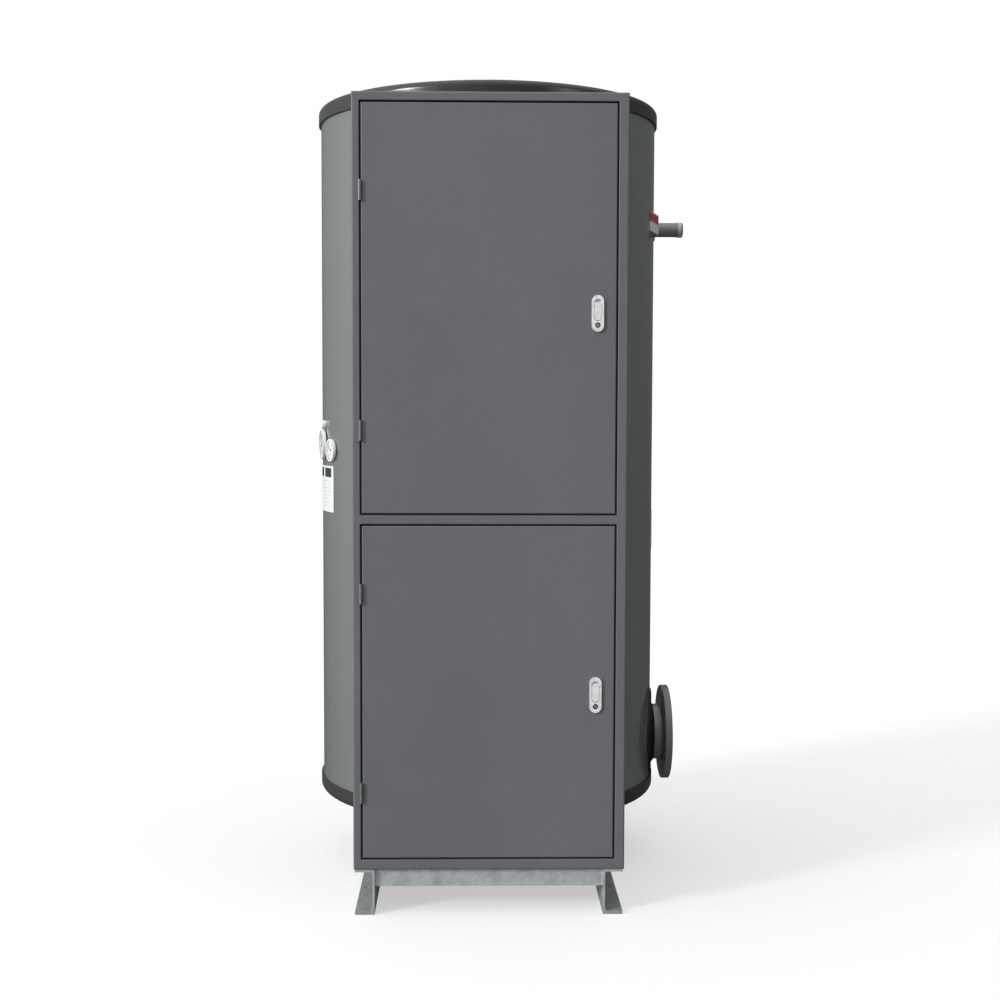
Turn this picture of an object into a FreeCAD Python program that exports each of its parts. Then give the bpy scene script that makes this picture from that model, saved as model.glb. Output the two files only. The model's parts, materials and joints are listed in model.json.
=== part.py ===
"""Commercial upright boiler with a full-height front service cabinet.

The boiler stands on two steel channel skids. Millimetres, +Z up, the cabinet faces -Y.
The origin is on the floor under the jacket's axis, at the middle of the four anchor holes.
"""
import FreeCAD, Part
import Sketcher

import os
import re

# Driving sizes: alias, value in millimetres or degrees, what it is.
SIZES = [
    ("overall_height", 2252, "floor to the top of the top ring"),
    ("jacket_radius", 500, "outside of the jacket"),
    ("jacket_sheet", 2, "jacket wall"),
    ("ring_proud", 7, "how far the end rings stand out of the jacket"),
    ("top_ring_height", 48, "skirt of the top ring"),
    ("bottom_ring_height", 47, "skirt of the bottom ring"),
    ("bottom_ring_base", 213, "floor to the underside of the bottom ring"),
    ("ring_lip", 12, "thickness of the rings' flat lips"),
    ("ring_lip_reach", 100, "how far the lips reach in from the rim"),
    ("shoulder_radius", 20, "rounded outer edge of the top ring"),
    ("heel_radius", 20, "rounded outer edge of the bottom ring"),
    ("cover_sheet", 3, "top and bottom covers"),
    ("fit_gap", 0.3, "clearance between curved faces"),
    ("cabinet_width", 730, "outside of the cabinet"),
    ("cabinet_front", 620, "jacket axis to the cabinet's face"),
    ("cabinet_top_drop", 58, "top of the boiler down to the top of the cabinet"),
    ("cabinet_sheet", 1.5, "cabinet sides and top"),
    ("floor_sheet", 2, "cabinet floor and rear apron"),
    ("apron_gap", 2, "top of the rear apron to the bottom ring"),
    ("frame_sheet", 2, "face and lips of the front frame"),
    ("frame_depth", 25, "face to the back of the frame's lips"),
    ("frame_return", 15, "how far the frame's outer edges are folded back"),
    ("frame_fold_radius", 4.5, "folded outer edges of the frame"),
    ("frame_edge_radius", 2.4, "folded edges of the frame's openings"),
    ("stile_left", 20.5, "hinge side of the frame"),
    ("stile_right", 26.5, "lock side of the frame"),
    ("rail_top", 23.5, "frame above the upper door"),
    ("rail_middle", 23.5, "frame between the doors"),
    ("rail_bottom", 27.5, "frame below the lower door"),
    ("lower_opening", 906, "height of the lower door's opening"),
    ("stop_reach", 10, "how far the door stop reaches into the opening"),
    ("door_gap", 5, "gap round each door"),
    ("door_depth", 18, "folded depth of a door"),
    ("door_sheet", 1.5, "door sheet"),
    ("door_edge_radius", 2.6, "folded front edges of a door"),
    ("hinge_radius", 4.2, "hinge barrel"),
    ("hinge_length", 54, "both halves of a hinge barrel"),
    ("hinge_pin_radius", 1.8, "hinge pin"),
    ("hinge_running_gap", 0.1, "pin in its barrel, radial"),
    ("hinge_split", 0.6, "between the two halves of a barrel"),
    ("hinge_leaf", 1.5, "thickness of a hinge leaf"),
    ("hinge_leaf_depth", 16, "how far a leaf reaches back into the gap"),
    ("hinge_stand_off", 0.4, "barrel in front of the cabinet's face"),
    ("upper_hinge_drop", 228, "top of the upper door to its upper hinge"),
    ("upper_hinge_rise", 220, "bottom of the upper door to its lower hinge"),
    ("lower_hinge_drop", 181, "top of the lower door to its upper hinge"),
    ("lower_hinge_rise", 178, "bottom of the lower door to its lower hinge"),
    ("lock_inset", 49.5, "free edge of a door to the middle of its lock"),
    ("upper_lock_rise", 530, "bottom of the upper door to its lock"),
    ("lower_lock_rise", 443, "bottom of the lower door to its lock"),
    ("lock_width", 32, "lock plate"),
    ("lock_height", 96, "lock plate"),
    ("lock_proud", 6, "lock plate in front of the door"),
    ("lock_shank_width", 24, "lock body through the door"),
    ("lock_shank_height", 84, "lock body through the door"),
    ("lock_shank_depth", 30, "door face to the back of the lock body"),
    ("lock_hole_gap", 0.5, "lock body in its door hole"),
    ("recess_width", 21, "recess for the paddle"),
    ("recess_height", 58, "recess for the paddle"),
    ("recess_depth", 8, "recess for the paddle"),
    ("recess_rise", 9, "recess above the middle of the lock"),
    ("paddle_gap", 1, "paddle to the sides of its recess"),
    ("paddle_thickness", 4, "paddle"),
    ("paddle_inset", 0.5, "paddle below the face of the lock plate"),
    ("paddle_pin_radius", 1.2, "paddle pin"),
    ("key_radius", 7, "key cylinder"),
    ("key_drop", 31, "middle of the lock down to the key cylinder"),
    ("key_length", 20, "key cylinder"),
    ("key_slot_width", 1.6, "key slot"),
    ("key_slot_height", 8, "key slot"),
    ("key_slot_depth", 4, "key slot"),
    ("cam_width", 14, "lock cam"),
    ("cam_length", 44, "lock cam"),
    ("cam_thickness", 3, "lock cam"),
    ("skid_height", 126, "channel skid"),
    ("skid_flange_width", 53, "channel skid"),
    ("skid_web", 5.5, "channel skid"),
    ("skid_flange", 9, "channel skid"),
    ("skid_root_radius", 6, "inside corners of the channel"),
    ("skid_spread", 618, "clear width between the two skids' webs"),
    ("skid_front", 612, "jacket axis to the skids' front ends"),
    ("skid_back", 480, "jacket axis to the skids' back ends"),
    ("anchor_spacing", 800, "front to back, between anchor holes"),
    ("anchor_inset", 18, "toe of the flange to an anchor hole"),
    ("anchor_radius", 7, "anchor hole"),
    ("beam_size", 50, "square tube crossbeam"),
    ("beam_wall", 3, "square tube crossbeam"),
    ("beam_setback", 10, "skid ends to the crossbeams"),
    ("leg_size", 50, "tank leg, square tube"),
    ("leg_wall", 4, "tank leg"),
    ("leg_spacing", 600, "front to back, between tank legs"),
    ("outlet_height", 370, "floor to the middle of the outlet"),
    ("outlet_face", 560, "jacket axis to the outlet's sealing face"),
    ("flange_radius", 142.5, "outlet flange"),
    ("flange_thickness", 22, "outlet flange without its raised face"),
    ("raised_face_radius", 106, "sealing face"),
    ("raised_face", 2, "height of the sealing face"),
    ("flange_edge_radius", 2.5, "rounded rim of the flange"),
    ("bolt_circle", 240, "outlet flange, diameter"),
    ("bolt_hole_radius", 11, "outlet flange"),
    ("neck_radius", 84.15, "outlet pipe"),
    ("neck_bore", 79, "outlet pipe and flange"),
    ("collar_radius", 135, "collar where the outlet leaves the jacket"),
    ("collar_thickness", 5, "collar on the jacket"),
    ("collar_cone", 10, "how far the collar's sleeve stands out of the jacket"),
    ("collar_cone_radius", 104, "foot of the collar's sleeve"),
    ("collar_trim", 2, "bottom ring to the collar's trimmed lower edge"),
    ("collar_mouth", 4, "end of the collar's sleeve outside the outlet pipe"),
    ("stub_height", 1908, "floor to the middle of the relief stub"),
    ("stub_end", 590, "jacket axis to the end of the relief stub"),
    ("stub_radius", 21.2, "relief stub"),
    ("stub_bore", 18, "relief stub"),
    ("stub_bead_radius", 22.8, "bead near the stub's end"),
    ("stub_bead_width", 11, "bead near the stub's end"),
    ("stub_bead_setback", 4, "end of the stub to the bead"),
    ("stub_collar_radius", 34, "thin collar at the stub's root"),
    ("stub_collar_thickness", 5, "thin collar at the stub's root"),
    ("tag_width", 125, "tag beside the relief stub"),
    ("tag_height", 58, "tag beside the relief stub"),
    ("tag_thickness", 1.2, "tag beside the relief stub"),
    ("tag_lift", 8, "middle of the stub up to the middle of the tag"),
    ("tag_angle", 71.8, "front of the jacket round to where the tag touches it"),
    ("tag_overhang", 9, "tag in front of the line where it touches the jacket"),
    ("gauge_stem_radius", 8, "stems behind the gauges"),
    ("gauge_stem", 1.5, "jacket to the backs of the gauges"),
    ("large_gauge_radius", 45, "large gauge"),
    ("large_gauge_depth", 9, "large gauge"),
    ("large_gauge_height", 1259, "floor to the middle of the large gauge"),
    ("large_gauge_angle", 76, "front of the jacket round to the large gauge"),
    ("small_gauge_radius", 32.5, "small gauge"),
    ("small_gauge_depth", 8, "small gauge"),
    ("small_gauge_height", 1244, "floor to the middle of the small gauge"),
    ("small_gauge_angle", 65, "front of the jacket round to the small gauge"),
    ("gauge_rim", 4, "width of the gauges' rims"),
    ("gauge_recess", 3, "depth of the gauges' faces behind their rims"),
    ("cap_radius", 12, "sensor cap"),
    ("cap_depth", 13, "sensor cap"),
    ("cap_height", 1318, "floor to the middle of the sensor cap"),
    ("cap_edge_radius", 3, "rounded end of the sensor cap"),
    ("cap_angle", 74, "front of the jacket round to the sensor cap"),
    ("plate_sheet", 1, "nameplate and side plate"),
    ("nameplate_base", 1062, "floor to the nameplate"),
    ("nameplate_height", 135, "nameplate"),
    ("nameplate_start", 64, "front of the jacket round to the nameplate"),
    ("nameplate_sweep", 24, "nameplate, as an angle"),
    ("side_plate_base", 948, "floor to the side plate"),
    ("side_plate_height", 110, "side plate"),
    ("side_plate_start", 80, "front of the jacket round to the side plate"),
    ("side_plate_sweep", 18, "side plate, as an angle"),
    ("seam_sweep", 3.4, "cover strip on the jacket's back seam, as an angle"),
    ("seam_sheet", 1.5, "cover strip on the jacket's back seam"),
]

# Lengths that several sub-parts share, worked out from the driving sizes.
SHARED = {
    "ring_radius": "(jacket_radius + ring_proud)",
    "top_lip_base": "(overall_height - ring_lip)",
    "bottom_lip_top": "(bottom_ring_base + ring_lip)",
    "inside_radius": "(jacket_radius - jacket_sheet)",
    "cabinet_top_level": "(overall_height - cabinet_top_drop)",
    "side_x": "(cabinet_width / 2)",
    "open_left": "(stile_left - cabinet_width / 2)",
    "open_width": "(cabinet_width - stile_left - stile_right)",
    "lower_base": "(skid_height + rail_bottom)",
    "upper_base": "(skid_height + rail_bottom + lower_opening + rail_middle)",
    "upper_opening": "(overall_height - cabinet_top_drop - rail_top - skid_height - rail_bottom"
                     " - lower_opening - rail_middle)",
    "door_left": "(stile_left - cabinet_width / 2 + door_gap)",
    "door_width": "(cabinet_width - stile_left - stile_right - 2 * door_gap)",
    "hinge_x": "(stile_left - cabinet_width / 2 + hinge_leaf)",
    "hinge_y": "(-cabinet_front - hinge_radius - hinge_stand_off)",
    "lock_x": "(cabinet_width / 2 - stile_right - door_gap - lock_inset)",
    "anchor_x": "(skid_spread / 2 + skid_flange_width - anchor_inset)",
    "leg_x": "(skid_spread / 2 + skid_flange_width / 2)",
}

# A tool that only has to pass right through a piece runs past it by this much.
PAST = 5
BOLT_COUNT = 8

doc = FreeCAD.newDocument("boiler")
sheet = doc.addObject("Spreadsheet::Sheet", "Sizes")
for row, (alias, value, note) in enumerate(SIZES, start=1):
    sheet.set(f"A{row}", note)
    sheet.set(f"B{row}", str(value))
    sheet.setAlias(f"B{row}", alias)
doc.recompute()

ALIASES = {alias for alias, value, note in SIZES}
nodes = []


def formula(text):
    """Turns words into references to the sheet's cells."""
    def swap(match):
        word = match.group(0)
        if word in SHARED:
            return formula(SHARED[word])
        return f"Sizes.{word}" if word in ALIASES else word
    return re.sub(r"[a-z_]+[a-z]", swap, str(text))


def bind(item, **properties):
    """Ties properties to formulas in the sheet's words."""
    for name, text in properties.items():
        item.setExpression(name, formula(text))
    return item


def place(item, x=0, y=0, z=0):
    """Ties the item's position to formulas in the sheet's words."""
    for axis, text in zip("xyz", (x, y, z)):
        item.setExpression(f"Placement.Base.{axis}", formula(text))
    return item


def turn(item, axis, angle):
    """Turns the item about an axis through its own origin, by a fixed angle."""
    item.Placement = FreeCAD.Placement(item.Placement.Base, FreeCAD.Rotation(FreeCAD.Vector(axis), angle))
    return item


def swing(item, angle):
    """Turns the item clockwise, seen from above, about the jacket's axis, by a formula."""
    turn(item, (0, 0, -1), 1)
    item.setExpression("Placement.Rotation.Angle", formula(angle))
    return item


def box(name, size, low):
    """A box from its size and its low corner."""
    item = doc.addObject("Part::Box", name)
    bind(item, Length=size[0], Width=size[1], Height=size[2])
    return place(item, *low)


def cylinder(name, radius, length, start, along="z", **more):
    """A cylinder that starts at a point and runs along z, x or -y."""
    item = doc.addObject("Part::Cylinder", name)
    bind(item, Radius=radius, Height=length, **more)
    if along == "x":
        turn(item, (0, 1, 0), 90)
    if along == "-y":
        turn(item, (1, 0, 0), 90)
    return place(item, *start)


def fuse(name, *items):
    joined = doc.addObject("Part::MultiFuse", name)
    joined.Shapes = list(items)
    return joined


def group(name, *items):
    """Several solids that stay apart, or one that is turned about the jacket's axis."""
    grouped = doc.addObject("Part::Compound", name)
    grouped.Links = list(items)
    return grouped


def cut(name, base, *tools):
    result = doc.addObject("Part::Cut", name)
    result.Base = base
    result.Tool = tools[0] if len(tools) == 1 else fuse(name + "_tools", *tools)
    return result


def common(name, first, second):
    result = doc.addObject("Part::Common", name)
    result.Base = first
    result.Tool = second
    return result


def round_edges(name, item, size, wanted):
    """Rounds the edges whose box answers to a test, by the radius in one cell."""
    doc.recompute()
    radius = float(sheet.get(size))
    result = doc.addObject("Part::Fillet", name)
    result.Base = item
    result.Edges = [(number, radius, radius) for number, edge in enumerate(item.Shape.Edges, start=1)
                    if wanted(edge.BoundBox)]
    return result


def node(item, label):
    """Marks an object as a finished sub-part under its own name."""
    item.Label = label
    nodes.append(item)
    return item


def plane_of(body, role):
    return next(plane for plane in body.Origin.OriginFeatures if plane.Role == role)


def body_profile(name, role, points):
    """A body with one closed sketch of straight lines through points given as formulas."""
    body = doc.addObject("PartDesign::Body", name)
    sketch = body.newObject("Sketcher::SketchObject", name + "_profile")
    sketch.AttachmentSupport = [(plane_of(body, role), "")]
    sketch.MapMode = "FlatFace"
    count = len(points)
    start = [FreeCAD.Vector(10 * index, 10 * (index % 2) + index * index, 0) for index in range(count)]
    for index in range(count):
        sketch.addGeometry(Part.LineSegment(start[index], start[(index + 1) % count]))
    for index in range(count):
        sketch.addConstraint(Sketcher.Constraint("Coincident", index, 2, (index + 1) % count, 1))
    for index, point in enumerate(points):
        for kind, text, guess in (("DistanceX", point[0], start[index].x),
                                  ("DistanceY", point[1], start[index].y)):
            number = sketch.addConstraint(Sketcher.Constraint(kind, -1, 1, index, 1, guess))
            sketch.setExpression(f"Constraints[{number}]", formula(text))
    return body, sketch


def revolve(body, sketch, axis):
    turned = body.newObject("PartDesign::Revolution", body.Name + "_turned")
    turned.Profile = sketch
    turned.ReferenceAxis = (sketch, [axis])
    turned.Angle = 360
    return turned


def pad(body, sketch, length, reverse=False):
    padded = body.newObject("PartDesign::Pad", body.Name + "_pad")
    padded.Profile = sketch
    padded.Reversed = reverse
    bind(padded, Length=length)
    return padded


def body_fillet(body, feature, size, wanted):
    """Rounds a body's edges whose box answers to a test, by the radius in one cell."""
    doc.recompute()
    rounded = body.newObject("PartDesign::Fillet", body.Name + "_round")
    names = [f"Edge{number}" for number, edge in enumerate(feature.Shape.Edges, start=1)
             if wanted(edge.BoundBox)]
    rounded.Base = (feature, names)
    bind(rounded, Radius=size)
    return rounded


def near(value, target):
    return abs(value - target) < 0.01


# ---------------------------------------------------------------- jacket and its ends

def sector(name, inner, thickness, base, height, start, sweep):
    """A curved plate on the jacket: start is the angle from +X to its first edge."""
    outer = cylinder(name + "_outer", f"{inner} + {thickness}", height, (0, 0, base), Angle=sweep)
    core = cylinder(name + "_core", inner, f"{height} + {2 * PAST}", (0, 0, f"{base} - {PAST}"))
    turn(outer, (0, 0, 1), 1)
    outer.setExpression("Placement.Rotation.Angle", formula(start))
    return node(cut(name, outer, core), name)


def jacket():
    base = "bottom_lip_top"
    height = "top_lip_base - bottom_lip_top"
    skin = cylinder("jacket_skin", "jacket_radius", height, (0, 0, base))
    hollow = cylinder("jacket_hollow", "inside_radius", f"{height} + {2 * PAST}", (0, 0, f"{base} - {PAST}"))
    outlet = cylinder("jacket_outlet_hole", "neck_bore", "jacket_radius", (0, 0, "outlet_height"), "x")
    relief = cylinder("jacket_relief_hole", "stub_bore", "jacket_radius", (0, 0, "stub_height"), "x")
    node(cut("jacket", skin, hollow, outlet, relief), "jacket")
    sector("jacket_seam", "(jacket_radius + fit_gap)", "seam_sheet", "bottom_ring_base + bottom_ring_height",
           "overall_height - top_ring_height - bottom_ring_base - bottom_ring_height",
           "90 - seam_sweep / 2", "seam_sweep")


def end_ring(name, open_end, lip_inner, closed_end, edge_size):
    """A skirt round the jacket, from its open end to a flat lip over the jacket's edge."""
    lip_inside = "ring_radius - ring_lip_reach"
    skirt_inside = "jacket_radius + fit_gap"
    points = [("ring_radius", open_end), ("ring_radius", closed_end), (lip_inside, closed_end),
              (lip_inside, lip_inner), (skirt_inside, lip_inner), (skirt_inside, open_end)]
    body, sketch = body_profile(name, "XZ_Plane", points)
    turned = revolve(body, sketch, "V_Axis")
    doc.recompute()
    bounds_now = body.Shape.BoundBox
    level = bounds_now.ZMax if name == "top_ring" else bounds_now.ZMin
    reach = bounds_now.XMax

    def outer_edge(bounds):
        return near(bounds.ZMin, level) and near(bounds.ZMax, level) and bounds.XMax > reach - 0.01

    body_fillet(body, turned, edge_size, outer_edge)
    return node(body, name)


def end_rings():
    end_ring("top_ring", "overall_height - top_ring_height", "top_lip_base", "overall_height",
             "shoulder_radius")
    end_ring("bottom_ring", "bottom_ring_base + bottom_ring_height", "bottom_lip_top", "bottom_ring_base",
             "heel_radius")


def covers():
    radius = "inside_radius - fit_gap"
    node(cylinder("top_cover", radius, "cover_sheet", (0, 0, "top_lip_base - cover_sheet")), "top_cover")
    node(cylinder("bottom_cover", radius, "cover_sheet", (0, 0, "bottom_lip_top")), "bottom_cover")


# ---------------------------------------------------------------- cabinet

def opening_box(name, base, height, inset, front, depth):
    """A box as wide and high as a door's opening, smaller all round by an inset."""
    return box(name, (f"open_width - 2 * {inset}", depth, f"{height} - 2 * {inset}"),
               (f"open_left + {inset}", front, f"{base} + {inset}"))


def front_frame():
    """The face sheet, folded back round each opening and turned in again as a door stop."""
    face = box("frame_face", ("cabinet_width", "frame_return", "cabinet_top_level - skid_height"),
               ("-side_x", "-cabinet_front", "skid_height"))
    behind = box("frame_behind", ("cabinet_width - 2 * frame_sheet", "frame_return",
                                  "cabinet_top_level - skid_height - 2 * frame_sheet"),
                 ("frame_sheet - side_x", "frame_sheet - cabinet_front", "skid_height + frame_sheet"))

    def on_face(bounds):
        level = face.Shape.BoundBox.YMin
        return near(bounds.YMin, level) and near(bounds.YMax, level)

    def round_opening(bounds):
        outline = face.Shape.BoundBox
        margin = 2 * float(sheet.get("frame_fold_radius"))
        return on_face(bounds) and (
            bounds.XMin > outline.XMin + margin and bounds.XMax < outline.XMax - margin
            and bounds.ZMin > outline.ZMin + margin and bounds.ZMax < outline.ZMax - margin)

    rounded = round_edges("frame_rounded", face, "frame_fold_radius", on_face)
    solids = [cut("frame_folded", rounded, behind)]
    holes = []
    stops = []
    for name, base, height in (("upper", "upper_base", "upper_opening"),
                               ("lower", "lower_base", "lower_opening")):
        lips = opening_box(f"frame_{name}_lips", base, height, "(-frame_sheet)", "-cabinet_front", "frame_depth")
        hole = opening_box(f"frame_{name}_hole", base, height, "0", f"-cabinet_front - {PAST}",
                           f"frame_depth - frame_sheet + {PAST}")
        stop = opening_box(f"frame_{name}_stop", base, height, "stop_reach", "-cabinet_front",
                           f"frame_depth + {PAST}")
        solids.append(lips)
        holes.append(hole)
        stops.append(stop)
    pierced = cut("frame_pierced", fuse("frame_solid", *solids), *holes, *stops)
    node(round_edges("front_frame", pierced, "frame_edge_radius", round_opening), "front_frame")


def tank_clearance():
    """The space that the jacket and the bottom ring need inside the cabinet."""
    above = cylinder("clear_jacket", "jacket_radius + fit_gap", "overall_height", (0, 0, "bottom_lip_top"))
    below = cylinder("clear_ring", "ring_radius + fit_gap", "bottom_ring_height + 2 * fit_gap",
                     (0, 0, "bottom_ring_base - fit_gap"))
    return fuse("tank_clearance", above, below)


def cabinet():
    clearance = tank_clearance()
    back = "sqrt(jacket_radius ^ 2 - side_x ^ 2)"
    depth = f"cabinet_front - frame_return - {back} + floor_sheet"
    front = "-cabinet_front + frame_return"
    inner_width = "cabinet_width - 2 * cabinet_sheet"
    for name, x in (("cabinet_side_left", "-side_x"), ("cabinet_side_right", "side_x - cabinet_sheet")):
        panel = box(name + "_sheet", ("cabinet_sheet", depth, "cabinet_top_level - skid_height"),
                    (x, front, "skid_height"))
        node(cut(name, panel, clearance), name)
    top = box("cabinet_top_sheet", (inner_width, depth, "cabinet_sheet"),
              ("cabinet_sheet - side_x", front, "cabinet_top_level - cabinet_sheet"))
    node(cut("cabinet_top", top, clearance), "cabinet_top")
    node(box("cabinet_floor", (inner_width, depth, "floor_sheet"),
             ("cabinet_sheet - side_x", front, "skid_height")), "cabinet_floor")
    node(box("cabinet_rear_apron", (inner_width, "floor_sheet", "bottom_ring_base - apron_gap - skid_height"
                                    " - floor_sheet"),
             ("cabinet_sheet - side_x", f"-{back}", "skid_height + floor_sheet")), "cabinet_rear_apron")


# ---------------------------------------------------------------- doors

def obround(name, width, height, depth, middle, front):
    """A plate with round ends, upright, its front face at y = front."""
    x, z = middle
    straight = f"({height} - {width}) / 2"
    strip = box(name + "_strip", (width, depth, f"{height} - {width}"),
                (f"{x} - {width} / 2", front, f"{z} - {straight}"))
    ends = [cylinder(f"{name}_{end}", f"{width} / 2", depth, (x, f"{front} + {depth}", f"{z} {sign} {straight}"),
                     "-y") for end, sign in (("top", "+"), ("bottom", "-"))]
    return fuse(name, strip, *ends)


def door(name, base, height, lock_rise):
    """A folded pan with a hole for its lock."""
    outer = box(name + "_outer", ("door_width", "door_depth", height),
                ("door_left", "-cabinet_front", base))

    def front_edge(bounds):
        face = outer.Shape.BoundBox.YMin
        return near(bounds.YMin, face) and near(bounds.YMax, face)

    rounded = round_edges(name + "_rounded", outer, "door_edge_radius", front_edge)
    inner = box(name + "_inner", ("door_width - 2 * door_sheet", "door_depth", f"{height} - 2 * door_sheet"),
                ("door_left + door_sheet", "door_sheet - cabinet_front", f"{base} + door_sheet"))
    hole = obround(name + "_lock_hole", "(lock_shank_width + 2 * lock_hole_gap)",
                   "(lock_shank_height + 2 * lock_hole_gap)", "door_depth", ("lock_x", f"({base} + {lock_rise})"),
                   f"(-cabinet_front - {PAST})")
    node(cut(name, rounded, inner, hole), name)


def hinge_half(name, level, side):
    """Half a barrel with its leaf: the door's half sits on top and runs on the frame's pin."""
    half = "hinge_length / 2 - hinge_split / 2"
    if side == "door":
        base = f"{level} + hinge_split / 2"
        leaf_x = "(door_left - hinge_leaf)"
    else:
        base = f"{level} - hinge_length / 2"
        leaf_x = "open_left"
    barrel = cylinder(name + "_barrel", "hinge_radius", half, ("hinge_x", "hinge_y", base))
    leaf = box(name + "_leaf", ("hinge_leaf", "hinge_leaf_depth - (hinge_y + cabinet_front)", half),
               (leaf_x, "hinge_y", base))
    if side == "door":
        hole = cylinder(name + "_hole", "hinge_pin_radius + hinge_running_gap", "hinge_length",
                        ("hinge_x", "hinge_y", f"{level} - hinge_length / 4"))
        return cut(name, fuse(name + "_solid", barrel, leaf), hole)
    pin = cylinder(name + "_pin", "hinge_pin_radius", "hinge_length - hinge_split",
                   ("hinge_x", "hinge_y", base))
    return fuse(name, barrel, leaf, pin)


def hinges(name, base, height, drop, rise):
    """Two hinges on one door, one node for the frame's halves and one for the door's."""
    levels = (f"({base} + {height} - {drop})", f"({base} + {rise})")
    for side in ("frame", "door"):
        halves = [hinge_half(f"{name}_{side}_hinge_{number}", level, side)
                  for number, level in enumerate(levels, start=1)]
        node(group(f"{name}_{side}_hinges", *halves), f"{name}_{side}_hinges")


def lock(name, level):
    """A lock plate and body, its paddle on a cross pin, its key cylinder and its cam."""
    face = "(-cabinet_front - lock_proud)"
    plate = obround(name + "_plate", "lock_width", "lock_height", "lock_proud", ("lock_x", level), face)
    shank = obround(name + "_shank", "lock_shank_width", "lock_shank_height", "(lock_shank_depth + lock_proud)",
                    ("lock_x", level), face)
    recess = obround(name + "_recess", "recess_width", "recess_height", f"(recess_depth + {PAST})",
                     ("lock_x", f"({level} + recess_rise)"), f"({face} - {PAST})")
    key_level = f"({level} - key_drop)"
    key_hole = cylinder(name + "_key_hole", "key_radius + fit_gap", f"key_length + {PAST}",
                        ("lock_x", f"{face} + key_length", key_level), "-y")
    pin_level = f"({level} + recess_rise + recess_height / 2 - recess_width / 2)"
    pin_y = f"({face} + paddle_inset + paddle_thickness / 2)"
    pin = cylinder(name + "_pin", "paddle_pin_radius", "recess_width",
                   ("lock_x - recess_width / 2", pin_y, pin_level), "x")
    hollowed = cut(name + "_hollowed", fuse(name + "_solid", plate, shank), recess, key_hole)
    node(fuse(name + "_lock", hollowed, pin), name + "_lock")

    width = "(recess_width - 2 * paddle_gap)"
    length = "(recess_height - recess_width / 2 - 2 * paddle_gap)"
    blade = box(name + "_blade", (width, "paddle_thickness", f"{length} - {width} / 2"),
                (f"lock_x - {width} / 2", f"{face} + paddle_inset", f"{pin_level} - {length} + {width} / 2"))
    tip = cylinder(name + "_tip", f"{width} / 2", "paddle_thickness",
                   ("lock_x", f"{face} + paddle_inset + paddle_thickness", f"{pin_level} - {length} + {width} / 2"),
                   "-y")
    knuckle = cylinder(name + "_knuckle", "paddle_thickness / 2", "recess_width / 2",
                       ("lock_x - recess_width / 4", pin_y, pin_level), "x")
    bore = cylinder(name + "_bore", "paddle_pin_radius + hinge_running_gap", "recess_width",
                    ("lock_x - recess_width / 2", pin_y, pin_level), "x")
    node(cut(name + "_paddle", fuse(name + "_paddle_solid", blade, tip, knuckle), bore), name + "_paddle")

    barrel = cylinder(name + "_key_barrel", "key_radius", "key_length", ("lock_x", f"{face} + key_length", key_level),
                      "-y")
    slot = box(name + "_key_slot", ("key_slot_width", "key_slot_depth", "key_slot_height"),
               ("lock_x - key_slot_width / 2", face, f"{key_level} - key_slot_height / 2"))
    node(cut(name + "_key_cylinder", barrel, slot), name + "_key_cylinder")
    node(box(name + "_lock_cam", ("cam_width", "cam_thickness", "cam_length"),
             ("lock_x - cam_width / 2", "lock_shank_depth - cabinet_front", f"{level} - cam_length / 2")),
         name + "_lock_cam")


def doors():
    for name, base, opening, drop, rise, lock_rise in (
            ("upper", "(upper_base + door_gap)", "(upper_opening - 2 * door_gap)",
             "upper_hinge_drop", "upper_hinge_rise", "upper_lock_rise"),
            ("lower", "(lower_base + door_gap)", "(lower_opening - 2 * door_gap)",
             "lower_hinge_drop", "lower_hinge_rise", "lower_lock_rise")):
        door(name + "_door", base, opening, lock_rise)
        hinges(name, base, opening, drop, rise)
        lock(name, f"({base} + {lock_rise})")


# ---------------------------------------------------------------- base

def skid(name, side):
    """A rolled channel with its web inside and its flanges pointing out, drilled for anchors."""
    inner = "skid_spread / 2"
    outer = "(skid_spread / 2 + skid_flange_width)"
    web = "(skid_spread / 2 + skid_web)"
    points = [(inner, "0"), (outer, "0"), (outer, "skid_flange"), (web, "skid_flange"),
              (web, "skid_height - skid_flange"), (outer, "skid_height - skid_flange"),
              (outer, "skid_height"), (inner, "skid_height")]
    points = [(f"{side} * {x}", z) for x, z in points]
    body, sketch = body_profile(name + "_channel", "XZ_Plane", points)
    rail = pad(body, sketch, "skid_front + skid_back")
    place(body, y="skid_back")
    doc.recompute()
    flange = float(sheet.get("skid_flange"))
    height = float(sheet.get("skid_height"))
    web_face = float(sheet.get("skid_spread")) / 2 + float(sheet.get("skid_web"))

    def root(bounds):
        along = bounds.YLength > 1
        at_web = near(abs(bounds.XMin), web_face) and near(abs(bounds.XMax), web_face)
        return along and at_web and (near(bounds.ZMin, flange) or near(bounds.ZMin, height - flange))

    body_fillet(body, rail, "skid_root_radius", root)
    holes = [cylinder(f"{name}_hole_{end}", "anchor_radius", f"skid_flange + {2 * PAST}",
                      (f"{side} * anchor_x", f"{sign} * anchor_spacing / 2", -PAST))
             for end, sign in (("front", -1), ("back", 1))]
    node(cut(name, body, *holes), name)


def tube(name, size, wall, length, low, along):
    """A square tube with open ends, along x or z."""
    outer_size = [size, size, size]
    inner_size = [f"{size} - 2 * {wall}"] * 3
    inner_low = [f"{part} + {wall}" for part in low]
    index = "xyz".index(along)
    outer_size[index] = length
    inner_size[index] = f"{length} + {2 * PAST}"
    inner_low[index] = f"{low[index]} - {PAST}"
    return node(cut(name, box(name + "_outer", outer_size, low), box(name + "_inner", inner_size, inner_low)), name)


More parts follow.
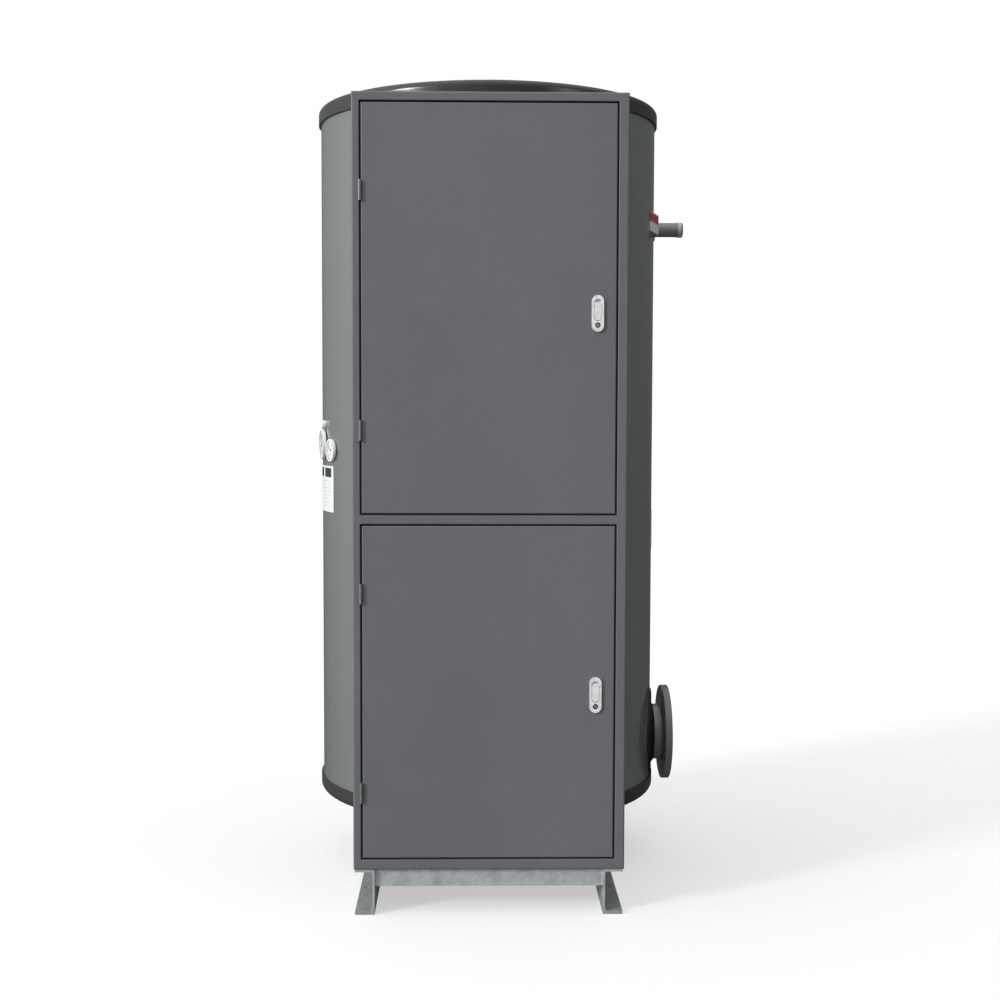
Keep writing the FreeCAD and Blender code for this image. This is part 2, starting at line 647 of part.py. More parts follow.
def base_frame():
    skid("skid_left", -1)
    skid("skid_right", 1)
    for name, y in (("front_crossbeam", "-skid_front + beam_setback"),
                    ("rear_crossbeam", "skid_back - beam_setback - beam_size")):
        tube(name, "beam_size", "beam_wall", "skid_spread",
             ("-skid_spread / 2", y, "skid_height - beam_size"), "x")
    for end, sign in (("front", -1), ("rear", 1)):
        for hand, side in (("left", -1), ("right", 1)):
            tube(f"tank_leg_{end}_{hand}", "leg_size", "leg_wall", "bottom_ring_base - skid_height",
                 (f"{side} * leg_x - leg_size / 2", f"{sign} * leg_spacing / 2 - leg_size / 2", "skid_height"), "z")


# ---------------------------------------------------------------- outlet and relief stub

def outlet():
    back = "outlet_face - raised_face - flange_thickness"
    front = "outlet_face - raised_face"
    points = [(back, "neck_bore"), ("outlet_face", "neck_bore"), ("outlet_face", "raised_face_radius"),
              (front, "raised_face_radius"), (front, "flange_radius"), (back, "flange_radius")]
    body, sketch = body_profile("flange_disc", "XZ_Plane", points)
    disc = revolve(body, sketch, "H_Axis")
    place(body, z="outlet_height")
    doc.recompute()
    rim = float(sheet.get("flange_radius"))
    body_fillet(body, disc, "flange_edge_radius", lambda bounds: bounds.YMax > rim - 0.01 and bounds.XLength < 1)
    holes = []
    for number in range(BOLT_COUNT):
        angle = (number + 0.5) * 360 / BOLT_COUNT
        holes.append(cylinder(f"flange_hole_{number + 1}", "bolt_hole_radius", f"flange_thickness + {2 * PAST}",
                              (f"{back} - {PAST}", f"bolt_circle / 2 * cos({angle} deg)",
                               f"outlet_height + bolt_circle / 2 * sin({angle} deg)"), "x"))
    node(cut("outlet_flange", body, *holes), "outlet_flange")

    root = "(jacket_radius + fit_gap)"
    pipe = cylinder("neck_pipe", "neck_radius", f"{back} - {root}", (root, 0, "outlet_height"), "x")
    bore = cylinder("neck_bore_tool", "neck_bore", "outlet_face", (0, 0, "outlet_height"), "x")
    node(cut("outlet_neck", pipe, bore), "outlet_neck")


def collar(name, radius, inner, thickness, height):
    """A plate that follows the jacket round a pipe."""
    disc = cylinder(name + "_disc", radius, "jacket_radius * 2", (0, 0, height), "x")
    shell = cylinder(name + "_shell", f"jacket_radius + fit_gap + {thickness}", f"4 * {radius}",
                     (0, 0, f"{height} - 2 * {radius}"))
    core = cylinder(name + "_core", "jacket_radius + fit_gap", f"4 * {radius}",
                    (0, 0, f"{height} - 2 * {radius}"))
    hole = cylinder(name + "_hole", f"{inner} + fit_gap", "jacket_radius * 2", (0, 0, height), "x")
    return common(name + "_plate", disc, shell), core, hole


def collars():
    plate, core, hole = collar("outlet_collar", "collar_radius", "neck_radius", "collar_thickness", "outlet_height")
    sleeve = doc.addObject("Part::Cone", "outlet_sleeve")
    bind(sleeve, Radius1="collar_cone_radius + collar_cone", Radius2="neck_radius + collar_mouth",
         Height="2 * collar_cone")
    turn(sleeve, (0, 1, 0), 90)
    place(sleeve, "jacket_radius - collar_cone", 0, "outlet_height")
    foot = cylinder("outlet_collar_trim", "2 * jacket_radius", "bottom_ring_base + bottom_ring_height + collar_trim",
                    (0, 0, 0))
    node(cut("outlet_collar", fuse("outlet_collar_solid", plate, sleeve), core, hole, foot), "outlet_collar")
    plate, core, hole = collar("relief_collar", "stub_collar_radius", "stub_radius", "stub_collar_thickness",
                               "stub_height")
    node(cut("relief_collar", plate, core, hole), "relief_collar")


def relief_stub():
    root = "(jacket_radius + fit_gap)"
    pipe = cylinder("stub_pipe", "stub_radius", f"stub_end - {root}", (root, 0, "stub_height"), "x")
    bead = cylinder("stub_bead", "stub_bead_radius", "stub_bead_width",
                    ("stub_end - stub_bead_setback - stub_bead_width", 0, "stub_height"), "x")
    bore = cylinder("stub_bore_tool", "stub_bore", "2 * stub_end", (0, 0, "stub_height"), "x")
    node(cut("relief_stub", fuse("stub_solid", pipe, bead), bore), "relief_stub")
    tag = box("port_tag_sheet", ("tag_width", "tag_thickness", "tag_height"),
              ("-tag_overhang", "-jacket_radius - fit_gap - tag_thickness",
               "stub_height + tag_lift - tag_height / 2"))
    node(swing(group("port_tag", tag), "360 - tag_angle"), "port_tag")


# ---------------------------------------------------------------- gauges and plates

def gauge(name, radius, depth, height, angle):
    """A round case on a short stem, recessed inside its rim."""
    back = "(-jacket_radius - fit_gap - gauge_stem)"
    stem = cylinder(name + "_stem", "gauge_stem_radius", "gauge_stem", (0, "-jacket_radius - fit_gap", height), "-y")
    case = cylinder(name + "_case", radius, depth, (0, back, height), "-y")
    recess = cylinder(name + "_recess", f"{radius} - gauge_rim", f"gauge_recess + {PAST}",
                      (0, f"{back} - {depth} + gauge_recess", height), "-y")
    node(swing(cut(name, fuse(name + "_solid", stem, case), recess), angle), name)


def fittings():
    gauge("large_gauge", "large_gauge_radius", "large_gauge_depth", "large_gauge_height", "large_gauge_angle")
    gauge("small_gauge", "small_gauge_radius", "small_gauge_depth", "small_gauge_height", "small_gauge_angle")
    cap = cylinder("cap_solid", "cap_radius", "cap_depth", (0, "-jacket_radius - fit_gap", "cap_height"), "-y")
    doc.recompute()
    tip = cap.Shape.BoundBox.YMin
    rounded = round_edges("sensor_cap", cap, "cap_edge_radius", lambda bounds: near(bounds.YMax, tip))
    node(swing(rounded, "cap_angle"), "sensor_cap")
    sector("nameplate", "(jacket_radius + fit_gap)", "plate_sheet", "nameplate_base", "nameplate_height",
           "270 - nameplate_start - nameplate_sweep", "nameplate_sweep")
    sector("side_plate", "(jacket_radius + fit_gap)", "plate_sheet", "side_plate_base", "side_plate_height",
           "270 + side_plate_start", "side_plate_sweep")


# ---------------------------------------------------------------- build and write

jacket()
end_rings()
covers()
front_frame()
cabinet()
doors()
base_frame()
outlet()
collars()
relief_stub()
fittings()
doc.recompute()

for item in doc.Objects:
    if "Invalid" in item.State or "Error" in item.State:
        raise RuntimeError(f"{item.Name} did not build: {item.State}")
os.makedirs("parts", exist_ok=True)
for item in nodes:
    if item.Shape.isNull() or not item.Shape.isValid():
        raise RuntimeError(f"{item.Label} has no valid shape")
for item in nodes:
    item.Shape.exportStep(f"parts/{item.Label}.step")
    print(item.Label, len(item.Shape.Solids), round(item.Shape.Volume / 1000), "cm3")
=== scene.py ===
"""Looks, light and camera for the boiler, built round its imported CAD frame.

Metres, +Z up, the cabinet faces -Y. Materials read object coordinates, which are row coordinates,
because every CAD node and every added piece has its origin at the row's origin.
"""
import json
import math

import bpy
from mathutils import Matrix, Vector


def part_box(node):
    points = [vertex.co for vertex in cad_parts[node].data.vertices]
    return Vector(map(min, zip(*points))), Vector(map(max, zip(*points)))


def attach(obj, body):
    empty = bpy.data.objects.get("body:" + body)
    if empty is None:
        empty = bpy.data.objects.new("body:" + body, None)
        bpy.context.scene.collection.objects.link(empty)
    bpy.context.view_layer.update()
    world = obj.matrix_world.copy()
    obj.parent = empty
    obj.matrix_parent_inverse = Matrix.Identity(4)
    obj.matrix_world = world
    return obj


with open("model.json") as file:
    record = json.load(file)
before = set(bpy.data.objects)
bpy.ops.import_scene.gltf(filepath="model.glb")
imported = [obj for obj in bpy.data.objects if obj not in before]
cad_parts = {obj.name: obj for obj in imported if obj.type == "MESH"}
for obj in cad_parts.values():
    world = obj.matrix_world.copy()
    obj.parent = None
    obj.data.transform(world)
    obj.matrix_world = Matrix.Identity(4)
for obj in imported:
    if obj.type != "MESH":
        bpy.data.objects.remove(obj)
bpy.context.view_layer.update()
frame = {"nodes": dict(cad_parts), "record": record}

ROOT = "boiler"
SMOOTH_ANGLE = math.radians(32)
UP = Vector((0, 0, 1))

JACKET_RADIUS = 0.5
PLATE_FACE = JACKET_RADIUS + 0.0013      # outside of the nameplate and the side plate
GAUGE_BACK = JACKET_RADIUS + 0.0018      # back of a gauge's case
RIVET_FACE = JACKET_RADIUS + 0.0029      # outside of a rivet's head on the back seam
NECK_WELD_RADIUS = 0.0848                # middle of the bead, just outside the neck's wall
PRINT = 0.0002                           # thickness of printed lines
WELD = 0.0028                            # radius of a fillet weld's bead


def middle(node):
    low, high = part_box(node)
    return (low + high) / 2


# ---------------------------------------------------------------- shader helpers

class Paint:
    """One principled material and short ways to wire procedural nodes into it."""

    def __init__(self, name, color, roughness, metallic=0.0, specular=0.5, coat=0.0, coat_roughness=0.2):
        self.material = bpy.data.materials.new(name)
        self.material.use_nodes = True
        self.tree = self.material.node_tree
        self.shader = self.tree.nodes["Principled BSDF"]
        self.shader.inputs["Base Color"].default_value = (*color, 1)
        self.shader.inputs["Roughness"].default_value = roughness
        self.shader.inputs["Metallic"].default_value = metallic
        self.shader.inputs["Specular IOR Level"].default_value = specular
        self.shader.inputs["Coat Weight"].default_value = coat
        self.shader.inputs["Coat Roughness"].default_value = coat_roughness
        self.height = None

    def add(self, kind, **inputs):
        item = self.tree.nodes.new(kind)
        for key, value in inputs.items():
            item.inputs[key].default_value = value
        return item

    def link(self, source, target):
        self.tree.links.new(source, target)

    def coordinates(self, stretch=(1, 1, 1), shift=(0, 0, 0)):
        source = self.add("ShaderNodeTexCoord")
        mapping = self.add("ShaderNodeMapping", Scale=stretch, Location=shift)
        self.link(source.outputs["Object"], mapping.inputs["Vector"])
        return mapping.outputs["Vector"]

    def noise(self, scale, detail=3.0, stretch=(1, 1, 1), roughness=0.55):
        item = self.add("ShaderNodeTexNoise", Scale=scale, Detail=detail, Roughness=roughness)
        self.link(self.coordinates(stretch), item.inputs["Vector"])
        return item.outputs["Fac"]

    def cells(self, scale, stretch=(1, 1, 1)):
        item = self.add("ShaderNodeTexVoronoi", Scale=scale)
        self.link(self.coordinates(stretch), item.inputs["Vector"])
        split = self.add("ShaderNodeSeparateColor")
        self.link(item.outputs["Color"], split.inputs["Color"])
        return split.outputs["Red"]

    def axis(self, name, low, high):
        """0 to 1 along one object axis, from low to high in metres."""
        split = self.add("ShaderNodeSeparateXYZ")
        source = self.add("ShaderNodeTexCoord")
        self.link(source.outputs["Object"], split.inputs["Vector"])
        return self.remap(split.outputs[name], low, high)

    def remap(self, value, low, high, to_low=0.0, to_high=1.0):
        item = self.tree.nodes.new("ShaderNodeMapRange")
        for key, number in (("From Min", low), ("From Max", high), ("To Min", to_low), ("To Max", to_high)):
            item.inputs[key].default_value = number
        self.link(value, item.inputs["Value"])
        return item.outputs["Result"]

    def ramp(self, value, stops, steps=False):
        item = self.add("ShaderNodeValToRGB")
        ramp = item.color_ramp
        ramp.interpolation = "CONSTANT" if steps else "LINEAR"
        while len(ramp.elements) < len(stops):
            ramp.elements.new(0.5)
        for element, (position, color) in zip(ramp.elements, stops):
            element.position = position
            element.color = (*color, 1)
        self.link(value, item.inputs["Fac"])
        return item.outputs["Color"]

    def mix(self, factor, first, second):
        item = self.tree.nodes.new("ShaderNodeMix")
        item.data_type = "RGBA"
        self.link(factor, item.inputs["Factor"])
        colors = [socket for socket in item.inputs if socket.type == "RGBA"]
        for socket, source in zip(colors, (first, second)):
            if isinstance(source, tuple):
                socket.default_value = (*source, 1)
            else:
                self.link(source, socket)
        return [socket for socket in item.outputs if socket.type == "RGBA"][0]

    def color(self, output):
        self.link(output, self.shader.inputs["Base Color"])
        return self

    def rough(self, output, low, high):
        self.link(self.remap(output, 0.25, 0.75, low, high), self.shader.inputs["Roughness"])
        return self

    def bump(self, output, strength, distance):
        item = self.add("ShaderNodeBump", Strength=strength, Distance=distance)
        self.link(output, item.inputs["Height"])
        if self.height is not None:
            self.link(self.height, item.inputs["Normal"])
        self.height = item.outputs["Normal"]
        self.link(self.height, self.shader.inputs["Normal"])
        return self


def scaled(color, share):
    return tuple(min(1.0, part * share) for part in color)


# ---------------------------------------------------------------- materials

def powder_coat(name, color, roughness, specular=0.5, spread=0.05, grain=0.05, coat=0.0):
    """Sprayed paint: a faint cloudiness, faint dust in random patches and a fine orange peel."""
    paint = Paint(name, color, roughness, specular=specular, coat=coat, coat_roughness=0.10)
    cloud = paint.noise(2.2, detail=4, stretch=(1, 1, 0.45))
    base = paint.ramp(cloud, [(0.3, scaled(color, 1 - spread)), (0.7, scaled(color, 1 + spread))])
    dust = paint.remap(paint.noise(9, detail=5), 0.52, 0.72, 0.0, 0.10)
    paint.color(paint.mix(dust, base, scaled(color, 1.5)))
    paint.rough(paint.noise(22, detail=3), roughness - 0.04, roughness + 0.06)
    paint.bump(paint.noise(520, detail=1), grain, 0.0004)
    return paint


def galvanised(name, color):
    """Zinc: crystals of slightly different greys, darker stains, and colour darkened towards the floor over
    the lowest 5 cm.
    """
    paint = Paint(name, color, 0.5, metallic=0.55)
    crystals = paint.ramp(paint.cells(85), [(0.0, scaled(color, 0.92)), (1.0, scaled(color, 1.08))])
    stains = paint.remap(paint.noise(16, detail=6, stretch=(1, 0.5, 1)), 0.5, 0.7)
    stained = paint.mix(paint.remap(stains, 0, 1, 0, 0.40), crystals, (0.20, 0.21, 0.20))
    # Darkens the colour towards the floor, over the lowest 5 cm.
    low_darkening = paint.mix(paint.remap(paint.axis("Z", 0.05, 0.0), 0, 1, 0, 0.35), stained, (0.10, 0.095, 0.085))
    paint.color(low_darkening)
    paint.rough(paint.noise(60, detail=3), 0.38, 0.62)
    paint.bump(paint.noise(110, detail=4), 0.25, 0.001)
    return paint


def bare_metal(name, color, roughness, metallic=1.0, grain=0.1):
    """Plated or brushed metal with faint wear."""
    paint = Paint(name, color, roughness, metallic=metallic)
    wear = paint.noise(90, detail=4)
    paint.color(paint.ramp(wear, [(0.3, scaled(color, 0.85)), (0.7, scaled(color, 1.1))]))
    paint.rough(paint.noise(160, detail=2), roughness - 0.05, roughness + 0.08)
    paint.bump(paint.noise(420, detail=2), grain, 0.0003)
    return paint


def key_metal(name, node):
    """A key cylinder: dark ring round a lighter plug."""
    paint = Paint(name, (0.3, 0.3, 0.3), 0.35, metallic=0.8)
    centre = middle(node)
    place = paint.coordinates(shift=(-centre.x, 0, -centre.z))
    flat = paint.add("ShaderNodeVectorMath")
    flat.operation = "MULTIPLY"
    flat.inputs[1].default_value = (1, 0, 1)
    paint.link(place, flat.inputs[0])
    distance = paint.add("ShaderNodeVectorMath")
    distance.operation = "LENGTH"
    paint.link(flat.outputs["Vector"], distance.inputs[0])
    share = paint.remap(distance.outputs["Value"], 0, 0.008)
    plug, ring = (0.42, 0.43, 0.43), (0.035, 0.035, 0.037)
    paint.color(paint.ramp(share, [(0.0, plug), (0.46, plug), (0.56, ring)]))
    paint.bump(paint.noise(700, detail=1), 0.05, 0.0002)
    return paint


def stub_metal():
    """Dark threaded pipe with a lighter bead near its end."""
    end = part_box("relief_stub")[1].x
    paint = Paint("stub_steel", (0.10, 0.10, 0.10), 0.45, metallic=0.5)
    along = paint.axis("X", end - 0.020, end)
    dark, light = (0.27, 0.28, 0.28), (0.60, 0.66, 0.65)
    band = paint.ramp(along, [(0.0, dark), (0.25, light), (0.80, (0.055, 0.055, 0.056))], steps=True)
    stain = paint.remap(paint.noise(70, detail=4), 0.45, 0.75, 0, 0.5)
    paint.color(paint.mix(stain, band, (0.13, 0.13, 0.125)))
    paint.bump(paint.noise(300, detail=3), 0.15, 0.0006)
    return paint


def tag_print():
    """A plain tag: red above, smudged off-white below, with pale edges."""
    low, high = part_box("port_tag")
    paint = Paint("tag_print", (0.7, 0.65, 0.62), 0.45)
    up = paint.axis("Z", low.z, high.z)
    red, pink, pale, edge = (0.42, 0.028, 0.032), (0.62, 0.30, 0.30), (0.66, 0.62, 0.58), (0.45, 0.42, 0.40)
    bands = paint.ramp(up, [(0.0, edge), (0.05, pale), (0.47, pink), (0.53, red), (0.94, pink)], steps=True)
    smudge = paint.remap(paint.noise(60, detail=5), 0.5, 0.68, 0, 0.35)
    lower = paint.ramp(up, [(0.0, (1, 1, 1)), (0.47, (0, 0, 0))], steps=True)
    strength = paint.tree.nodes.new("ShaderNodeMath")
    strength.operation = "MULTIPLY"
    paint.link(smudge, strength.inputs[0])
    paint.link(lower, strength.inputs[1])
    paint.color(paint.mix(strength.outputs["Value"], bands, (0.30, 0.27, 0.26)))
    return paint


def flat_print(name, color, roughness=0.4, spread=0.06):
    paint = Paint(name, color, roughness)
    paint.color(paint.ramp(paint.noise(35, detail=3),
                           [(0.3, scaled(color, 1 - spread)), (0.7, scaled(color, 1 + spread))]))
    return paint


def glass(name):
    paint = Paint(name, (1, 1, 1), 0.03, specular=0.5)
    paint.shader.inputs["Transmission Weight"].default_value = 1.0
    paint.shader.inputs["IOR"].default_value = 1.08
    paint.rough(paint.noise(30), 0.02, 0.05)
    return paint


DOOR_GREY = (0.117, 0.122, 0.130)
JACKET_GREY = (0.096, 0.114, 0.113)
ZINC = (0.50, 0.54, 0.54)
WHITE = (0.90, 0.92, 0.91)
BLACK = (0.012, 0.012, 0.012)
RING_BLACK = (0.018, 0.019, 0.019)
FLANGE_BLACK = (0.135, 0.134, 0.142)
NECK_PAINTED_LIGHT = (0.21, 0.21, 0.215)         # the flange's black paint made lighter: painted light for the light falling on the neck

paints = {
    "cabinet_paint": powder_coat("cabinet_paint", DOOR_GREY, 0.42, specular=0.4, grain=0.02),
    "jacket_paint": powder_coat("jacket_paint", JACKET_GREY, 0.34, spread=0.03, grain=0.004, coat=1.0),
    "ring_black": powder_coat("ring_black", RING_BLACK, 0.24, specular=0.45, spread=0.15, grain=0.01),
    "galvanised": galvanised("galvanised", ZINC),
    "hinge_steel": bare_metal("hinge_steel", (0.20, 0.21, 0.21), 0.26, metallic=0.6),
    "lock_metal": bare_metal("lock_metal", (0.84, 0.86, 0.86), 0.34, metallic=0.35),
    "flange_black": powder_coat("flange_black", FLANGE_BLACK, 0.30, specular=0.7, spread=0.25, grain=0.3),
    "collar_black": powder_coat("collar_black", BLACK, 0.70, specular=0.25, spread=0.2),
    "stub_steel": stub_metal(),
    "tag_print": tag_print(),
    "gauge_white": flat_print("gauge_white", WHITE, roughness=0.25, spread=0.02),
    "plate_white": flat_print("plate_white", (0.70, 0.73, 0.72), roughness=0.35),
}
# The outlet's neck: a lighter copy of the flange's black paint, painted light standing for the light the
# neck catches.
lit_neck_paint = powder_coat("neck_black_painted_light", NECK_PAINTED_LIGHT, 0.27, specular=0.8, spread=0.35, grain=0.4)
keys = {door: key_metal(f"key_{door}", f"{door}_key_cylinder") for door in ("upper", "lower")}
line_ink = flat_print("line_ink", (0.16, 0.165, 0.17), roughness=0.5)
black_ink = flat_print("black_ink", BLACK, roughness=0.4)
pale_ink = flat_print("pale_ink", (0.42, 0.44, 0.44), roughness=0.5)
weld_steel = bare_metal("weld_steel", (0.46, 0.48, 0.47), 0.5, metallic=0.6, grain=0.4)
dial_glass = glass("dial_glass")


# ---------------------------------------------------------------- CAD nodes

def smooth(mesh):
    """Smooth faces with sharp edges kept; the vertices stay as they are."""
    for polygon in mesh.polygons:
        polygon.use_smooth = True


slot_of = {part["node"]: part["material_slot"] for part in frame["record"]["subparts"]}
for name, item in frame["nodes"].items():
    slot = slot_of[name]
    if slot == "key_steel":
        paint = keys[name.split("_")[0]]
    # The neck gets the lighter copy of the flange's paint, which is painted light.
    elif name == "outlet_neck":
        paint = lit_neck_paint
    else:
        paint = paints[slot]
    item.data.materials.clear()
    item.data.materials.append(paint.material)


# ---------------------------------------------------------------- added pieces

def piece(name, vertices, faces, paint, body=ROOT, slot=None, soft=True):
    mesh = bpy.data.meshes.new(name)
    mesh.from_pydata([tuple(point) for point in vertices], [], faces)
    mesh.validate()
    mesh.update()
    item = bpy.data.objects.new(name, mesh)
    bpy.context.scene.collection.objects.link(item)
    if soft:
        smooth(mesh)
        mesh.set_sharp_from_angle(angle=SMOOTH_ANGLE)
    mesh.materials.append(paint.material)
    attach(item, body)
    return item


def on_jacket(angle, radius, height):
    """A point by its angle from the jacket's front, positive towards +X."""
    return Vector((radius * math.sin(angle), -radius * math.cos(angle), height))


def curved_patch(start, end, low, high, radius, thickness, steps=10):
    """Vertices and faces of a thin plate that follows the jacket; angles in radians from the front."""
    vertices, faces = [], []
    for index in range(steps + 1):
        angle = start + (end - start) * index / steps
        outside = radius + thickness
        for reach, height in ((radius, low), (outside, low), (outside, high), (radius, high)):
            vertices.append(on_jacket(angle, reach, height))
    for index in range(steps):
        base = 4 * index
        for corner in range(4):
            following = (corner + 1) % 4
            faces.append((base + corner, base + following, base + 4 + following, base + 4 + corner))
    faces.append((0, 3, 2, 1))
    last = 4 * steps
    faces.append((last, last + 1, last + 2, last + 3))
    return vertices, faces


def merge(parts):
    """Joins lists of vertices and faces."""
    vertices, faces = [], []
    for some, more in parts:
        base = len(vertices)
        vertices += some
        faces += [tuple(base + number for number in face) for face in more]
    return vertices, faces


def plate_details():
    """Header and ruled lines on the nameplate, and ruled lines on the side plate; no lettering."""
    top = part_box("nameplate")[1].z
    start, end = math.radians(-88), math.radians(-64)
    header = []
    columns = ((start + 0.035, math.radians(-76.2)), (math.radians(-73.8), end - 0.035))
    for first, last in columns:
        header.append(curved_patch(first, last, top - 0.033, top - 0.006, PLATE_FACE, PRINT))
    piece("nameplate_header", *merge(header), black_ink, slot="plate_white")
    rows = []
    for row in range(8):
        level = top - 0.045 - row * 0.0105
        reach = end - 0.05 - (0.06 if row % 3 == 2 else 0.0)
        rows.append(curved_patch(start + 0.20, reach, level, level + 0.0014, PLATE_FACE, PRINT))
    piece("nameplate_lines", *merge(rows), pale_ink, slot="plate_white")
    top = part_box("side_plate")[1].z
    start, end = math.radians(82), math.radians(96)
    rows = []
    for row in range(5):
        level = top - 0.022 - row * 0.018
        rows.append(curved_patch(start, end, level, level + 0.003, PLATE_FACE, PRINT))
    piece("side_plate_lines", *merge(rows), pale_ink, slot="plate_white")


def disc(centre, normal, radius, thickness, steps=48, inner=0.0):
    """A flat disc or ring; centre is on its front face, which looks along normal."""
    across = UP.cross(normal).normalized()
    vertices, faces = [], []
    radii = [radius, inner] if inner else [radius]
    for depth in (0.0, -thickness):
        for reach in radii:
            for index in range(steps):
                turn = 2 * math.pi * index / steps
                spoke = across * math.cos(turn) + UP * math.sin(turn)
                vertices.append(centre + normal * depth + reach * spoke)
    if inner:
        loops = [0, steps, 3 * steps, 2 * steps]
        for first, second in zip(loops, loops[1:] + loops[:1]):
            for index in range(steps):
                following = (index + 1) % steps
                faces.append((first + index, second + index, second + following, first + following))
    else:
        faces.append(tuple(range(steps)))
        faces.append(tuple(reversed(range(steps, 2 * steps))))
        for index in range(steps):
            following = (index + 1) % steps
            faces.append((index, steps + index, steps + following, following))
    return vertices, faces


def bar(centre, normal, turn, start, end, width, thickness, tip=None):
    """A flat bar on a dial, from one distance from the centre to another, at a clock angle."""
    across = UP.cross(normal).normalized()
    along = across * math.sin(turn) + UP * math.cos(turn)
    side = across * math.cos(turn) - UP * math.sin(turn)
    tip = width if tip is None else tip
    corners = [along * start - side * width / 2, along * end - side * tip / 2,
               along * end + side * tip / 2, along * start + side * width / 2]
    front = [centre + corner for corner in corners]
    back = [point - normal * thickness for point in front]
    faces = [(0, 1, 2, 3), (7, 6, 5, 4), (0, 4, 5, 1), (1, 5, 6, 2), (2, 6, 7, 3), (3, 7, 4, 0)]
    return front + back, faces


def dial(name, angle, radius, depth, marks, reading):
    """Printed face, ticks, plain numbers, pointer and glass inside a gauge's rim."""
    recess, rim, lift = 0.003, 0.004, 0.0003
    normal = on_jacket(angle, 1.0, 0.0)
    front = on_jacket(angle, GAUGE_BACK + depth, middle(name).z)
    face = front - normal * recess
    inner = radius - rim
    top = face + normal * lift
    across = UP.cross(normal).normalized()
    span = math.radians(135)
    ticks = []
    count = 5 * (len(marks) - 1)
    for index in range(count + 1):
        turn = -span + 2 * span * index / count
        start, width = (0.76, 0.0012) if index % 5 == 0 else (0.84, 0.0006)
        ticks.append(bar(top, normal, turn, inner * start, inner * 0.93, width, PRINT))
    ticks.append(disc(top, normal, inner * 0.955, PRINT, inner=inner * 0.935))
    piece(name + "_ticks", *merge(ticks), line_ink, slot="gauge_white", soft=False)
    numbers = []
    for index, mark in enumerate(marks):
        turn = -span + 2 * span * index / (len(marks) - 1)
        curve = bpy.data.curves.new(f"{name}_mark", "FONT")
        curve.body = mark
        curve.size = radius * 0.24
        curve.align_x = "CENTER"
        curve.align_y = "CENTER"
        text = bpy.data.objects.new(f"{name}_mark", curve)
        bpy.context.scene.collection.objects.link(text)
        bpy.context.view_layer.update()
        flat = text.to_mesh()
        centre = top + (across * math.sin(turn) + UP * math.cos(turn)) * inner * 0.60
        points = [centre + across * vertex.co.x + UP * vertex.co.y for vertex in flat.vertices]
        numbers.append((points, [tuple(polygon.vertices) for polygon in flat.polygons]))
        text.to_mesh_clear()
        bpy.data.objects.remove(text)
    piece(name + "_numbers", *merge(numbers), line_ink, slot="gauge_white", soft=False)
    over = face + normal * 0.0010
    turn = -span + 2 * span * reading
    pointer = [bar(over, normal, turn, -inner * 0.18, inner * 0.74, 0.0024, 0.0004, tip=0.0007),
               disc(over + normal * 0.0004, normal, inner * 0.09, 0.0008, steps=24)]
    piece(name + "_pointer", *merge(pointer), black_ink, slot="gauge_white")
    piece(name + "_glass", *disc(front - normal * 0.0006, normal, inner - 0.0002, 0.0008), dial_glass,
          slot="gauge_white")


def bead(points, radius, closed=False, sides=8, ripple=0.22):
    """A rippled weld bead along a line of points."""
    vertices, faces = [], []
    count = len(points)
    for index, point in enumerate(points):
        before = points[index - 1] if index or closed else point
        after = points[(index + 1) % count] if index < count - 1 or closed else point
        along = (after - before).normalized()
        first = along.orthogonal().normalized()
        second = along.cross(first)
        reach = radius * (1 + ripple * math.sin(index * 1.9))
        for side in range(sides):
            turn = 2 * math.pi * side / sides
            vertices.append(point + reach * (first * math.cos(turn) + second * math.sin(turn)))
    last = count if closed else count - 1
    for index in range(last):
        base, following = index * sides, (index + 1) % count * sides
        for side in range(sides):
            beside = (side + 1) % sides
            faces.append((base + side, base + beside, following + beside, following + side))
    return vertices, faces


def line(start, end, step=0.004):
    count = max(2, int((end - start).length / step))
    return [start.lerp(end, index / count) for index in range(count + 1)]


def welds():
    """Fillet welds at the crossbeams' ends, the tank legs' feet and the outlet's flange."""
    parts = []
    for name in ("front_crossbeam", "rear_crossbeam"):
        low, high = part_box(name)
        for x, inward in ((low.x, 1), (high.x, -1)):
            edge = x + inward * 0.001
            front_foot, rear_foot = Vector((edge, low.y, low.z)), Vector((edge, high.y, low.z))
            front_head, rear_head = Vector((edge, low.y, high.z)), Vector((edge, high.y, high.z))
            for first, second in ((front_foot, front_head), (rear_foot, rear_head), (front_foot, rear_foot)):
                parts.append(bead(line(first, second), WELD))
    for end in ("front", "rear"):
        for hand in ("left", "right"):
            low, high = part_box(f"tank_leg_{end}_{hand}")
            base = low.z + 0.001
            corners = [Vector((low.x, low.y, base)), Vector((high.x, low.y, base)),
                       Vector((high.x, high.y, base)), Vector((low.x, high.y, base))]
            for first, second in zip(corners, corners[1:] + corners[:1]):
                parts.append(bead(line(first, second), WELD))
    piece("base_welds", *merge(parts), weld_steel, slot="galvanised")
    low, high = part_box("outlet_flange")
    centre = (low + high) / 2
    ring = []
    steps = 110
    for index in range(steps):
        turn = 2 * math.pi * index / steps
        aside, rise = NECK_WELD_RADIUS * math.cos(turn), NECK_WELD_RADIUS * math.sin(turn)
        ring.append(Vector((low.x - 0.001, aside, centre.z + rise)))
    piece("outlet_weld", *bead(ring, 0.0035, closed=True), paints["flange_black"], slot="flange_black")


def jacket_hem():
    """The folded hem of the jacket's sheet, outside the cabinet, above the bottom ring."""
    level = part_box("bottom_ring")[1].z
    free = math.radians(48)
    inside, thickness = JACKET_RADIUS + 0.0001, 0.0022
    low, high = level + 0.0005, level + 0.0055
    shape = curved_patch(free, 2 * math.pi - free, low, high, inside, thickness, steps=120)
    piece("jacket_hem", *shape, paints["jacket_paint"], slot="jacket_paint")


